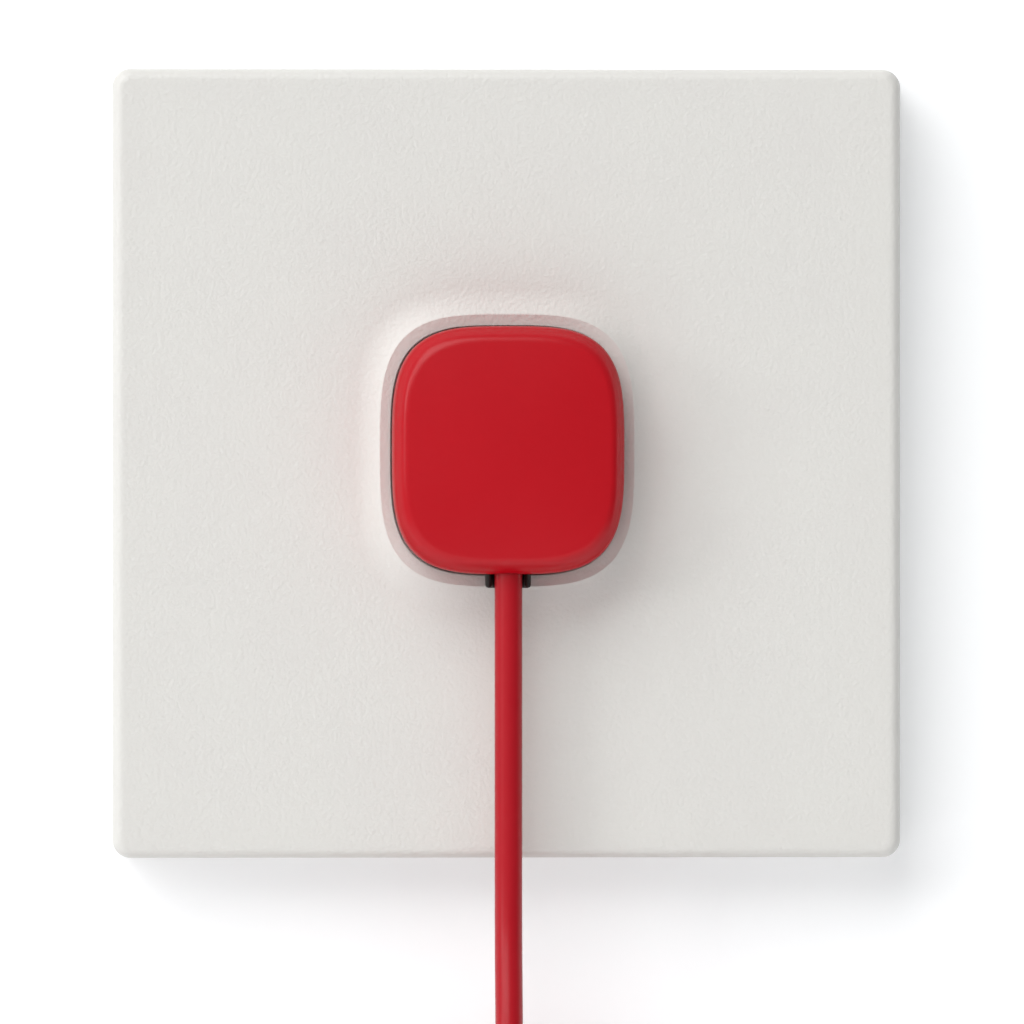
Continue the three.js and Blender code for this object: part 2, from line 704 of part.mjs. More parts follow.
// A coil spring standing along h.
class SpringLine extends THREE.Curve {
  constructor(x, low, high, d) {
    super();
    Object.assign(this, { x, low, high, d });
  }

  getPoint(t, target = new THREE.Vector3()) {
    const angle = 2 * Math.PI * springTurns * t;
    const radius = springRadius - springWire / 2;
    return target.set(
      this.x + radius * Math.cos(angle),
      this.low + (this.high - this.low) * t,
      this.d + radius * Math.sin(angle),
    );
  }
}

function returnSpring(x) {
  const half = springWire / 2;
  const low = sliderBottom - restGap - springRest + half;
  const line = new SpringLine(x, low, sliderBottom - restGap - half, sliderMiddle);
  const settings = { steps: springTurns * 12, extrudePath: line };
  return new THREE.ExtrudeGeometry(roundSection(half, 6), settings);
}

function roundSection(radius, sides) {
  const points = [];
  for (let i = 0; i < sides; i += 1) {
    const angle = (2 * Math.PI * i) / sides;
    points.push(new THREE.Vector2(radius * Math.cos(angle), radius * Math.sin(angle)));
  }
  return new THREE.Shape(points);
}

// A tube along the points of the cord's route.
function cordTube(points, steps) {
  const route = new THREE.CatmullRomCurve3(points.map(([x, h, d]) => new THREE.Vector3(x, h, d)));
  return new THREE.ExtrudeGeometry(roundSection(cordRadius, cordSides), { steps, extrudePath: route });
}

// The crimped sleeve on the cord's upper end, closed at the top.
function cordFerrule() {
  const boreTop = ferruleLength - ferruleTopWall;
  const profile = [[0, boreTop], [cordPassage, boreTop], [cordPassage, 0],
    [ferruleRadius, 0], [ferruleRadius, ferruleLength], [0, ferruleLength]];
  const points = profile.map(([radius, h]) => new THREE.Vector2(radius, h));
  return new THREE.LatheGeometry(points, 20).translate(0, ferruleBottom, cordDepth);
}

// The wound cord as one ring of its outer shape.
function cordCoil() {
  const half = coilHalfWidth;
  const short = half - coilChamfer;
  const ring = [[coilInside, short], [coilInside, -short], [coilInside + coilChamfer, -half],
    [coilOutside - coilChamfer, -half], [coilOutside, -short], [coilOutside, short],
    [coilOutside - coilChamfer, half], [coilInside + coilChamfer, half], [coilInside, short]];
  return turned(ring, 48).translate(0, coilCentre, cordDepth);
}

// A tie round the coil, a flat band bent to a rectangle. The lower one also holds the tail that
// lies across the coil's front.
function coilTie(angle, frontReach) {
  const low = coilInside - tieGap;
  const high = coilOutside + tieGap;
  const back = -coilHalfWidth - tieGap;
  const band = rectangle([low - tieThickness, high + tieThickness],
    [back - tieThickness, frontReach + tieThickness]);
  band.holes.push(rectangle([low, high], [back, frontReach]));
  const geometry = new THREE.ExtrudeGeometry(band, { depth: tieWidth, bevelEnabled: false });
  geometry.translate(0, 0, -tieWidth / 2).rotateX(Math.PI / 2);
  return geometry.rotateZ(THREE.MathUtils.degToRad(angle)).translate(0, coilCentre, cordDepth);
}

function rectangle([x0, x1], [y0, y1]) {
  const corner = [[x0, y0], [x1, y0], [x1, y1], [x0, y1]];
  return new THREE.Shape(corner.map(([x, y]) => new THREE.Vector2(x, y)));
}

// Hand grip: a turned bell with a bore for the cord and a hollow that hides the knot.
function pullGrip() {
  const profile = [[cordPassage, 0], [gripNeckRadius - 1, 0], [gripNeckRadius, -1],
    [gripNeckRadius + 0.4, -0.3 * gripLength], [gripRadius - 0.8, -0.6 * gripLength],
    [gripRadius, -0.85 * gripLength], [gripRadius - 0.6, 0.6 - gripLength],
    [gripRadius - 1.4, -gripLength], [gripRoomRadius, -gripLength],
    [gripRoomRadius, gripRoomDepth - gripLength], [cordPassage, gripRoomDepth - gripLength],
    [cordPassage, 0]];
  const points = profile.map(([radius, h]) => new THREE.Vector2(radius, h)).reverse();
  return new THREE.LatheGeometry(points, 32).translate(0, gripTop, strandDepth);
}

function endKnot() {
  const knot = new THREE.SphereGeometry(knotRadius, 16, 10);
  knot.scale(1, knotHeight / (2 * knotRadius), 1);
  return knot.translate(0, knotTop - knotHeight / 2, strandDepth);
}

// Wall side.
addPiece('mounting_frame', mountingFrame(), steel);
addPiece('insert_housing', insertHousing(), grey);
addPiece('rear_cover', rearCover(), grey);
addPiece('circuit_board', circuitBoard(), green);
addPiece('terminal_block', terminalBlock(), grey);
for (let pole = 0; pole < poleCount; pole += 1) {
  addPiece(`terminal_screw_${pole + 1}`, terminalScrew(pole), steel);
}
const boxScrewHeadSizes = [boxScrewHead, boxScrewHeadHeight];
const smallScrewHeadSizes = [smallScrewHead, smallScrewHeadHeight];
for (const [name, side] of [['left', -1], ['right', 1]]) {
  const place = [(side * boxScrewSpacing) / 2, 0];
  const screw = slottedScrew([boxScrewShank, boxScrewLength], boxScrewHeadSizes, place, flangeBack);
  addPiece(`box_screw_${name}`, screw, steel);
}
screwPlaces(flangeScrewX, flangeScrewH).forEach((place, i) => {
  const screw = slottedScrew([smallScrewShank, flangeScrewLength], smallScrewHeadSizes, place, sliderBack);
  addPiece(`flange_screw_${i + 1}`, screw, steel);
});

// Switch and slide.
addPiece('switch_body', switchBody(), black);
addPiece('switch_lever', switchLever(), steel);
addPiece('switch_plunger', switchPlunger(), red);
addPiece('return_spring_left', returnSpring(-springX), steel);
addPiece('return_spring_right', returnSpring(springX), steel);
addPiece('guide_cover', guideCover(), grey);
for (const [name, side] of [['left', -1], ['right', 1]]) {
  const place = [side * guideScrewX, guideScrewH];
  const seat = guideFootTop + restGap;
  const screw = slottedScrew([smallScrewShank, guideScrewLength], smallScrewHeadSizes, place, seat);
  addPiece(`guide_screw_${name}`, screw, steel);
}
addPiece('pull_carriage', pullCarriage(), black);

// Room side.
addPiece('cover_plate', coverPlate(), white);
addPiece('pull_cap', redCap(), red);

// Cord. It hangs straight, then runs into the wound spare length. The tail comes out of the
// innermost turn, lies across the coil's front and hangs through the grip to its knot.
const cordRoute = [[0, cordTop], [0, -20], [0, -40], [0, -56], [0, -59.6], [-0.3, -61.9],
  [-1.14, -63.8]].map(([x, h]) => [x, h, cordDepth]);
const tailRoute = [[-11.3, -81.9], [-13.6, -86], [-14.7, -91.3], [-14, -97], [-10.9, -102.1],
  [-5.4, -104.9], [-2.7, -106.4], [-0.7, -109], [0, -112.2], [0, -118], [0, -124], [0, -132],
  [0, knotTop + restGap]].map(([x, h]) => [x, h, strandDepth]);
addPiece('cord_ferrule', cordFerrule(), brass);
addPiece('pull_cord', cordTube(cordRoute, 14), red);
addPiece('cord_coil', cordCoil(), red);
addPiece('coil_tie_upper', coilTie(upperTieAngle, coilHalfWidth + tieGap), white);
addPiece('coil_tie_lower', coilTie(lowerTieAngle, strandDepth - cordDepth + cordRadius + tieGap), white);
addPiece('cord_tail', cordTube(tailRoute, 20), red);
addPiece('pull_grip', pullGrip(), red);
addPiece('end_knot', endKnot(), red);

export default model;
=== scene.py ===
import math

import bmesh
import bpy
from mathutils import Matrix, Vector


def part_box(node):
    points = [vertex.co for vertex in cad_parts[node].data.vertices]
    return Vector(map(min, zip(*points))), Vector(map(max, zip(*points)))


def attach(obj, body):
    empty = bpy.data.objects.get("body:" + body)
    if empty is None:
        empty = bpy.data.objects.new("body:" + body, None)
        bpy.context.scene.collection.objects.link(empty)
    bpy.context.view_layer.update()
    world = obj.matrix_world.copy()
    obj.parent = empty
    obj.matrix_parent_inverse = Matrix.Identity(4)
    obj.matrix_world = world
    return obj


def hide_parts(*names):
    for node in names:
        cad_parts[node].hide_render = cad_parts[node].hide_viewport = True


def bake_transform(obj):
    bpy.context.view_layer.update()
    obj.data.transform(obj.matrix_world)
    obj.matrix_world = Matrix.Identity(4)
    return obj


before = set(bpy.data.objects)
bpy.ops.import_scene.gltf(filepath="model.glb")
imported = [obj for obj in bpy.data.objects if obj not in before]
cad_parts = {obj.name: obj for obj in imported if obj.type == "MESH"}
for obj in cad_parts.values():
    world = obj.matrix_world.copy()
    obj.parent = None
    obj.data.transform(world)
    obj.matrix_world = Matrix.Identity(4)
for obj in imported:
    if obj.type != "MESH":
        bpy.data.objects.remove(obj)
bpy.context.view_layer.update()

# Camera. The photograph looks straight at the unit through a long lens, from a touch to the left.
# It frames 103.8 mm across the front face of the plate, with the plate above the middle.
mm = 0.001
plate_front = 10 * mm
view_width = 103.83 * mm
camera_distance = 1.2
camera_turn = math.radians(-1.8)
aim = Vector((0.51 * mm, -plate_front, -4.92 * mm))

camera_data = bpy.data.cameras.new("camera")
camera_data.lens = camera_data.sensor_width * camera_distance / view_width
camera = bpy.data.objects.new("camera", camera_data)
bpy.context.scene.collection.objects.link(camera)
camera.rotation_euler = (math.radians(90), 0, camera_turn)
backwards = Vector((math.sin(camera_turn), -math.cos(camera_turn), 0))
camera.location = aim + camera_distance * backwards
bpy.context.scene.camera = camera


# Wall and floor. The unit hangs on a plain painted wall, which the photograph shows as white with
# the plate's soft shadow on it. The wall is clear from behind, so that the insert can be seen.
wall_white = "#F6F7F8"
wall_glow = 0.25
wall_roughness = 0.9
wall_half_width = 0.9
wall_top = 0.7
floor_level = -0.36
floor_depth = 1.4


def linear(colour):
    """A colour given as sRGB hex, as the linear value that a shader takes."""
    channels = [int(colour[i:i + 2], 16) / 255 for i in (1, 3, 5)]
    return [c / 12.92 if c <= 0.04045 else ((c + 0.055) / 1.055) ** 2.4 for c in channels] + [1.0]


def add(tree, kind, sockets=None, **settings):
    """Adds a node. sockets holds values and links for its inputs, settings its own choices."""
    node = tree.nodes.new(kind)
    for name, value in settings.items():
        setattr(node, name, value)
    for name, value in (sockets or {}).items():
        if isinstance(value, bpy.types.NodeSocket):
            tree.links.new(value, node.inputs[name])
        else:
            node.inputs[name].default_value = value
    return node


def seen_directly(tree):
    """One for rays that show the backdrop itself, straight or in a reflection."""
    path = add(tree, "ShaderNodeLightPath").outputs
    straight = add(tree, "ShaderNodeMath", {0: path["Is Camera Ray"], 1: path["Is Glossy Ray"]},
                   operation="MAXIMUM")
    both = add(tree, "ShaderNodeMath", {0: straight.outputs[0], 1: path["Is Transmission Ray"]},
               operation="MAXIMUM")
    return both.outputs[0]


def stage_paint(name, clear_behind):
    """Matt wall paint that reads as white where no shadow falls."""
    material = bpy.data.materials.new(name)
    material.use_nodes = True
    tree = material.node_tree
    shader = tree.nodes["Principled BSDF"]
    shader.inputs["Base Color"].default_value = linear(wall_white)
    shader.inputs["Roughness"].default_value = wall_roughness
    shader.inputs["Emission Color"].default_value = linear(wall_white)
    glow = add(tree, "ShaderNodeMath", {0: seen_directly(tree), 1: wall_glow}, operation="MULTIPLY")
    tree.links.new(glow.outputs[0], shader.inputs["Emission Strength"])
    if clear_behind:
        behind = add(tree, "ShaderNodeNewGeometry").outputs["Backfacing"]
        clear = add(tree, "ShaderNodeBsdfTransparent")
        mix = add(tree, "ShaderNodeMixShader",
                  {0: behind, 1: shader.outputs[0], 2: clear.outputs[0]})
        tree.links.new(mix.outputs[0], tree.nodes["Material Output"].inputs["Surface"])
    return material


def stage_sheet(name, material, matrix):
    """A flat sheet of the set, one by one before the matrix places it."""
    bm = bmesh.new()
    bmesh.ops.create_grid(bm, x_segments=1, y_segments=1, size=0.5, matrix=matrix)
    mesh = bpy.data.meshes.new(name)
    bm.to_mesh(mesh)
    bm.free()
    mesh.materials.append(material)
    sheet = bpy.data.objects.new(name, mesh)
    bpy.context.scene.collection.objects.link(sheet)


wall_height = wall_top - floor_level
stage_sheet("wall", stage_paint("wall_paint", True),
            Matrix.Translation((0, 0, (wall_top + floor_level) / 2))
            @ Matrix.Rotation(math.radians(90), 4, "X")
            @ Matrix.Diagonal((2 * wall_half_width, wall_height, 1, 1)))
stage_sheet("floor", stage_paint("floor_paint", False),
            Matrix.Translation((0, -floor_depth / 2, floor_level))
            @ Matrix.Diagonal((2 * wall_half_width, floor_depth, 1, 1)))


# Light. One broad soft lamp stands above and to the left of the camera and a small one well to the
# left, which draws the highlights. The room gives the rest, most of it from above, so that shadows
# fall to the lower right.
key_way = (-0.6, -1.0, 0.9)
key_distance = 2.6
key_size = 2.2
key_power = 48
side_way = (-1.7, -1.0, 0.35)
side_distance = 2.0
side_size = 0.5
side_power = 5
room_way = (-0.45, 0, 0.89)
room_dark = 0.02
room_bright = 0.54


def soft_lamp(name, way, distance, size, power):
    """A square lamp that faces the unit from a way and a distance."""
    lamp_data = bpy.data.lights.new(name, "AREA")
    lamp_data.shape = "SQUARE"
    lamp_data.size = size
    lamp_data.energy = power
    lamp = bpy.data.objects.new(name, lamp_data)
    bpy.context.scene.collection.objects.link(lamp)
    lamp.location = aim + distance * Vector(way).normalized()
    lamp.rotation_euler = (-Vector(way)).to_track_quat("-Z", "Y").to_euler()


soft_lamp("key_lamp", key_way, key_distance, key_size, key_power)
soft_lamp("side_lamp", side_way, side_distance, side_size, side_power)

world = bpy.data.worlds.new("room")
bpy.context.scene.world = world
world.use_nodes = True
tree = world.node_tree
room = tree.nodes["Background"]
room.inputs["Color"].default_value = (1, 1, 1, 1)
towards = add(tree, "ShaderNodeTexCoord").outputs["Generated"]
height = add(tree, "ShaderNodeVectorMath", {0: towards, 1: room_way}, operation="DOT_PRODUCT")
glow = add(tree, "ShaderNodeMapRange", {0: height.outputs["Value"], 1: -1.0, 2: 1.0,
                                        3: room_dark, 4: room_bright})
tree.links.new(glow.outputs[0], room.inputs["Strength"])
bpy.context.scene.view_settings.view_transform = "Standard"


# Cord. A limp call cord of red PVC over a textile core, 2.8 mm thick and about 2 m long. It hangs
# from the head, and its spare length is wound in a round coil below the view, in four layers.
cord_diameter = 2.8
cord_depth = 14.8
cord_top = -1.7
cord_exit = -12.6
lean_start = -46
bend_radius = 7.5
bend_arc = 74
bend_step = 8
bend_reach = 26.15            # from the coil's middle to where a bend starts
coil_middle = -86
inner_turn = 11.3
landing_angle = 106
crossing_arc = 45
turn_points = 32
strand_rise = (128, 165)      # angles between which the last turn rises to the front
strand_drift = (140, 250)     # and between which it widens
strand_depth = 23.5
cord_end = -140


def eased_step(share):
    """A smooth rise from 0 to 1."""
    share = min(max(share, 0), 1)
    return share * share * (3 - 2 * share)


def on_coil(angle, radius, depth):
    """A point of the coil in the row frame, from an angle in degrees and sizes in mm."""
    turned_by = math.radians(angle)
    return (radius * math.cos(turned_by), -depth, coil_middle + radius * math.sin(turned_by))


def cord_route():
    """The cord's centreline in mm: down from the head, round the coil and down to the knot."""
    front = cord_depth + cord_diameter
    bend_start = coil_middle + bend_reach
    route = [(0, -cord_depth, z) for z in (cord_top, -6, cord_exit, -20, -30, -40)]
    for z in (lean_start, -50, -54, -57, bend_start):
        share = eased_step((lean_start - z) / (lean_start - bend_start))
        route.append((0, -cord_depth - cord_diameter * share, z))
    for angle in range(-bend_step, -bend_arc, -bend_step):
        turned_by = math.radians(angle)
        route.append((bend_radius * (math.cos(turned_by) - 1), -front,
                      bend_start + bend_radius * math.sin(turned_by)))
    layers = [(3, (3, 2, 1, 0)), (2, (0, 1, 2, 3, 4)), (1, (4, 3, 2, 1, 0)), (0, (0, 1, 2, 3, 4))]
    turns = [(inner_turn + layer * cord_diameter, cord_depth + (row - 2) * cord_diameter)
             for layer, rows in layers for row in rows]
    for here, there in zip(turns, turns[1:] + turns[-1:]):
        for i in range(turn_points):
            angle = 360 * i / turn_points
            share = eased_step((angle - 360 + crossing_arc) / crossing_arc)
            radius = here[0] + share * (there[0] - here[0])
            depth = here[1] + share * (there[1] - here[1])
            route.append(on_coil(landing_angle + angle, radius, depth))
    last_radius, last_depth = turns[-1]
    outer_turn = turns[0][0]
    for angle in range(landing_angle, 360 - landing_angle, bend_step):
        drift = eased_step((angle - strand_drift[0]) / (strand_drift[1] - strand_drift[0]))
        rise = eased_step((angle - strand_rise[0]) / (strand_rise[1] - strand_rise[0]))
        route.append(on_coil(angle, last_radius + (outer_turn - last_radius) * drift,
                             last_depth + (strand_depth - last_depth) * rise))
    for angle in range(bend_arc, 0, -bend_step):
        turned_by = math.radians(angle)
        route.append((bend_radius * (math.cos(turned_by) - 1), -strand_depth,
                      coil_middle - bend_reach + bend_radius * math.sin(turned_by)))
    bend_end = coil_middle - bend_reach
    route += [(0, -strand_depth, z) for z in (bend_end, -116, -120, -126, -132, cord_end)]
    return route


sheen_spread = 0.06


def moulded(name, colour, second, roughness, ior, patch, grain, relief, gloss=0.5):
    """A plastic: its colour drifts in patches and its skin has a fine grain. Sizes are in mm."""
    material = bpy.data.materials.new(name)
    material.use_nodes = True
    tree = material.node_tree
    place = add(tree, "ShaderNodeTexCoord").outputs["Object"]
    drift = add(tree, "ShaderNodeTexNoise",
                {"Vector": place, "Scale": 1 / (patch * mm), "Detail": 3.0})
    tint = add(tree, "ShaderNodeMix", {0: drift.outputs[0], 6: linear(colour), 7: linear(second)},
               data_type="RGBA")
    skin = add(tree, "ShaderNodeTexNoise",
               {"Vector": place, "Scale": 1 / (grain * mm), "Detail": 2.0})
    sheen = add(tree, "ShaderNodeMapRange",
                {0: skin.outputs[0], 3: roughness - sheen_spread, 4: roughness + sheen_spread})
    bump = add(tree, "ShaderNodeBump", {"Strength": 1.0, "Distance": relief * mm,
                                        "Height": skin.outputs[0]})
    shader = tree.nodes["Principled BSDF"]
    shader.inputs["IOR"].default_value = ior
    shader.inputs["Specular IOR Level"].default_value = gloss
    tree.links.new(tint.outputs[2], shader.inputs["Base Color"])
    tree.links.new(sheen.outputs[0], shader.inputs["Roughness"])
    tree.links.new(bump.outputs[0], shader.inputs["Normal"])
    return material


# Plasticised PVC, extruded: an even satin skin, hardly any grain, a long soft highlight.
red_pvc = moulded("red_pvc_sheath", "#B30B1D", "#AC0A1A", 0.36, 1.53, 9, 0.6, 0.003, gloss=0.28)

cord_curve = bpy.data.curves.new("call_cord", "CURVE")
cord_curve.dimensions = "3D"
cord_curve.bevel_depth = cord_diameter / 2 * mm
cord_curve.bevel_resolution = 5
cord_curve.use_fill_caps = True
cord_spline = cord_curve.splines.new("POLY")
cord_points = cord_route()
cord_spline.points.add(len(cord_points) - 1)
for point, place in zip(cord_spline.points, cord_points):
    point.co = [value * mm for value in place] + [1]
cord_spline.use_smooth = True
cord_curve.materials.append(red_pvc)
call_cord = bpy.data.objects.new("call_cord", cord_curve)
bpy.context.scene.collection.objects.link(call_cord)
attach(call_cord, "pull_head")
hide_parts("pull_cord", "cord_coil", "cord_tail")


# Coil ties. Two bands of natural nylon strap hold the coil, each drawn flat round all the turns,
# with the lower one over the hanging strand as well.
def merged_copy(node):
    """A CAD solid's mesh with its loose triangles joined and its flat faces made whole."""
    bm = bmesh.new()
    bm.from_mesh(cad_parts[node].data)
    bmesh.ops.remove_doubles(bm, verts=bm.verts, dist=0.002 * mm)
    bmesh.ops.dissolve_limit(bm, angle_limit=math.radians(1), verts=bm.verts, edges=bm.edges)
    return bm


def ease_edges(bm, width, segments=2, sharper_than=35):
    """Rounds every edge of a shape that is sharper than the angle."""
    sharp = [edge for edge in bm.edges
             if edge.is_manifold and edge.calc_face_angle() > math.radians(sharper_than)]
    bmesh.ops.bevel(bm, geom=sharp, offset=width * mm, affect="EDGES", segments=segments,
                    profile=0.5, material=-1, clamp_overlap=False)


def finished(name, bm, material, body=None, crease=32):
    """Turns a shape into a piece of one material, smooth but for its creases."""
    bmesh.ops.remove_doubles(bm, verts=bm.verts, dist=0.0005 * mm)
    bmesh.ops.recalc_face_normals(bm, faces=bm.faces)
    mesh = bpy.data.meshes.new(name)
    bm.to_mesh(mesh)
    bm.free()
    mesh.materials.append(material)
    mesh.shade_smooth()
    mesh.set_sharp_from_angle(angle=math.radians(crease))
    piece = bpy.data.objects.new(name, mesh)
    bpy.context.scene.collection.objects.link(piece)
    if body:
        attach(piece, body)
    return piece


def eased_node(name, node, width, material, body):
    """A CAD solid with its edges eased, in its own place."""
    bm = merged_copy(node)
    ease_edges(bm, width)
    piece = finished(name, bm, material, body)
    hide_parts(node)
    return piece


# Nylon 6.6, moulded: milky, a little translucent to the eye, soft gloss.
natural_nylon = moulded("natural_nylon", "#D9D5C8", "#CFCABB", 0.42, 1.53, 4, 0.5, 0.006)

ties = [eased_node("upper_strap", "coil_tie_upper", 0.2, natural_nylon, "pull_head"),
        eased_node("lower_strap", "coil_tie_lower", 0.2, natural_nylon, "pull_head")]


# Hand grip. A bell of red plastic on the cord's end, moulded in one piece with a bore for the cord
# and a hollow in its foot for the knot, which carries it.
grip_top = -124
grip_profile = [(1.7, 0), (3.2, 0), (3.7, -0.2), (4.0, -0.7), (4.0, -2.2), (3.95, -4), (4.05, -6),
                (4.35, -8.2), (4.85, -10.6), (5.45, -13), (6.05, -15.4), (6.6, -17.8),
                (6.92, -19.8), (7.0, -21.2), (6.9, -22.4), (6.55, -23.3), (6.0, -23.8),
                (5.4, -24), (4.9, -23.9), (4.5, -23.5), (4.4, -23), (4.4, -16.3), (4.1, -16),
                (1.7, -16), (1.7, 0)]


def turned(profile, steps):
    """A profile of radius and height in mm, turned about the upright axis."""
    bm = bmesh.new()
    corners = [bm.verts.new((radius * mm, 0, height * mm)) for radius, height in profile]
    sides = [bm.edges.new(pair) for pair in zip(corners, corners[1:])]
    bmesh.ops.spin(bm, geom=corners + sides, cent=(0, 0, 0), axis=(0, 0, 1), angle=math.tau,
                   steps=steps, use_merge=True)
    bmesh.ops.remove_doubles(bm, verts=bm.verts, dist=0.0005 * mm)
    return bm


# ABS, moulded and polished: deep even red with a clear, slightly soft highlight.
red_abs = moulded("red_abs", "#B81D2B", "#B01927", 0.3, 1.54, 14, 0.8, 0.003)

bm = turned(grip_profile, 72)
bmesh.ops.translate(bm, verts=bm.verts, vec=(0, -strand_depth * mm, grip_top * mm))
grip = finished("hand_grip", bm, red_abs, "pull_head")
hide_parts("pull_grip")


# End knot. The cord's own end, tied in a tight overhand knot that can't pass the grip's bore.
knot_middle = -142.8
knot_reach = 0.58
knot_strand = 1.25
knot_points = 48
knot_height = 1.9

knot_curve = bpy.data.curves.new("overhand_knot", "CURVE")
knot_curve.dimensions = "3D"
knot_curve.bevel_depth = knot_strand * mm
knot_curve.bevel_resolution = 4
knot_spline = knot_curve.splines.new("POLY")
knot_spline.points.add(knot_points - 1)
for i, point in enumerate(knot_spline.points):
    way = math.tau * i / knot_points
    place = (math.sin(way) + 2 * math.sin(2 * way), math.cos(way) - 2 * math.cos(2 * way),
             -knot_height * math.sin(3 * way))
    point.co = (place[0] * knot_reach * mm, (place[1] * knot_reach - strand_depth) * mm,
                (place[2] * knot_reach + knot_middle) * mm, 1)
knot_spline.use_cyclic_u = True
knot_curve.materials.append(red_pvc)
knot = bpy.data.objects.new("overhand_knot", knot_curve)
bpy.context.scene.collection.objects.link(knot)
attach(knot, "pull_head")
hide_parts("end_knot")


# Mounting frame. A square of galvanised sheet steel, punched and pressed flat, screwed to the flush
# box through two slots. The plate's latches and the insert hang on it.
scratch_stretch = (1, 1, 0.08)
polish_gain = 0.08
wear_loss = 0.1


def metal(name, colour, second, roughness, patch, scratch, relief):
    """A bare metal: patches of tone and fine scratches. Sizes are in mm."""
    material = bpy.data.materials.new(name)
    material.use_nodes = True
    tree = material.node_tree
    place = add(tree, "ShaderNodeTexCoord").outputs["Object"]
    cells = add(tree, "ShaderNodeTexVoronoi", {"Vector": place, "Scale": 1 / (patch * mm)},
                feature="SMOOTH_F1")
    tint = add(tree, "ShaderNodeMix", {0: cells.outputs[0], 6: linear(colour), 7: linear(second)},
               data_type="RGBA")
    stretch = add(tree, "ShaderNodeMapping", {"Vector": place, "Scale": scratch_stretch})
    marks = add(tree, "ShaderNodeTexNoise",
                {"Vector": stretch.outputs[0], "Scale": 1 / (scratch * mm), "Detail": 3.0})
    wear = add(tree, "ShaderNodeMapRange",
               {0: marks.outputs[0], 3: roughness - polish_gain, 4: roughness + wear_loss})
    bump = add(tree, "ShaderNodeBump", {"Strength": 1.0, "Distance": relief * mm,
                                        "Height": marks.outputs[0]})
    shader = tree.nodes["Principled BSDF"]
    shader.inputs["Metallic"].default_value = 1.0
    tree.links.new(tint.outputs[2], shader.inputs["Base Color"])
    tree.links.new(wear.outputs[0], shader.inputs["Roughness"])
    tree.links.new(bump.outputs[0], shader.inputs["Normal"])
    return material


# Zinc coat, hot dipped: dull grey crystals of a few millimetres, drawn out by the rolls.
galvanised = metal("galvanised_sheet", "#B9BDC0", "#9DA2A6", 0.42, 3.5, 0.35, 0.004)

eased_node("frame_sheet", "mounting_frame", 0.15, galvanised, "wall_unit")


# Screws. Slotted cheese-head screws of steel, cold headed and zinc plated: two long ones into the
# box, four for the insert's flange and two for the guide cover.
# Bright zinc plate: pale bluish silver, a little cloudy, with fine turning marks.
zinc_plated = metal("zinc_plated_screw", "#C6C9CC", "#AEB3B8", 0.3, 0.9, 0.12, 0.002)

screws = ["box_screw_left", "box_screw_right", "guide_screw_left", "guide_screw_right"]
screws += [f"flange_screw_{i}" for i in range(1, 5)]
for node in screws:
    eased_node(node.replace("screw", "fixing"), node, 0.08, zinc_plated, "wall_unit")


# Insert. The tub that sits in the flush box, its rear cover and the bridge that guides the slider,
# all moulded in grey polycarbonate and clipped or screwed together.
# Polycarbonate, moulded from a lightly eroded tool: flat mid grey, low sheen.
grey_polycarbonate = moulded("grey_polycarbonate", "#8F9396", "#878B8E", 0.52, 1.58, 12, 0.35, 0.01)

for name, node in (("insert_tub", "insert_housing"), ("insert_rear", "rear_cover"),
                   ("slider_bridge", "guide_cover")):
    eased_node(name, node, 0.18, grey_polycarbonate, "wall_unit")


# Circuit board. Woven glass and epoxy with a green solder mask, cut square, held between the
# posts of the tub and the pillars of the rear cover.
board_green = "#2F6B45"
board_trace = "#3E8358"
trace_pitch = 2.54
trace_width = 0.35
trace_relief = 0.035


def board_material():
    """A green mask over copper tracks, which show as paler lines on a regular pitch."""
    material = bpy.data.materials.new("solder_mask_board")
    material.use_nodes = True
    tree = material.node_tree
    place = add(tree, "ShaderNodeTexCoord").outputs["Object"]
    tracks = add(tree, "ShaderNodeTexBrick",
                 {"Vector": add(tree, "ShaderNodeMapping",
                                {"Vector": place, "Rotation": (math.radians(90), 0, 0)}).outputs[0],
                  "Color1": (0, 0, 0, 1), "Color2": (0, 0, 0, 1), "Mortar": (1, 1, 1, 1),
                  "Scale": 1.0, "Mortar Size": trace_width * mm, "Mortar Smooth": 0.3,
                  "Brick Width": 4 * trace_pitch * mm, "Row Height": trace_pitch * mm})
    tint = add(tree, "ShaderNodeMix",
               {0: tracks.outputs[0], 6: linear(board_green), 7: linear(board_trace)},
               data_type="RGBA")
    bump = add(tree, "ShaderNodeBump", {"Strength": 1.0, "Distance": trace_relief * mm,
                                        "Height": tracks.outputs[0]})
    shader = tree.nodes["Principled BSDF"]
    shader.inputs["Roughness"].default_value = 0.35
    tree.links.new(tint.outputs[2], shader.inputs["Base Color"])
    tree.links.new(bump.outputs[0], shader.inputs["Normal"])
    return material


eased_node("board", "circuit_board", 0.1, board_material(), "wall_unit")


# Terminal block. Four screw terminals in a pale polyamide body, soldered to the board, with the
# wire holes below and the screws above, facing the back of the box.
# Polyamide 6.6, moulded: off-white, matt, faintly mottled.
pale_polyamide = moulded("pale_polyamide", "#D6D3C6", "#CCC8BA", 0.5, 1.53, 5, 0.3, 0.008)

eased_node("terminals", "terminal_block", 0.15, pale_polyamide, "wall_unit")
for i in range(1, 5):
    eased_node(f"wire_clamp_screw_{i}", f"terminal_screw_{i}", 0.08, zinc_plated, "wall_unit")


# Snap switch. A sealed black body with a strip lever on a pin and a small plunger under it, glued
# and soldered to the board's front.
# Glass-filled PBT, moulded: near black, dull, slightly speckled.
black_pbt = moulded("black_pbt", "#1D1D1E", "#262627", 0.55, 1.58, 2, 0.2, 0.01)
# Rolled stainless strip: bright, with drawn-out rolling lines.
stainless_strip = metal("stainless_strip", "#C4C5C3", "#B2B3B1", 0.25, 1.5, 0.1, 0.001)
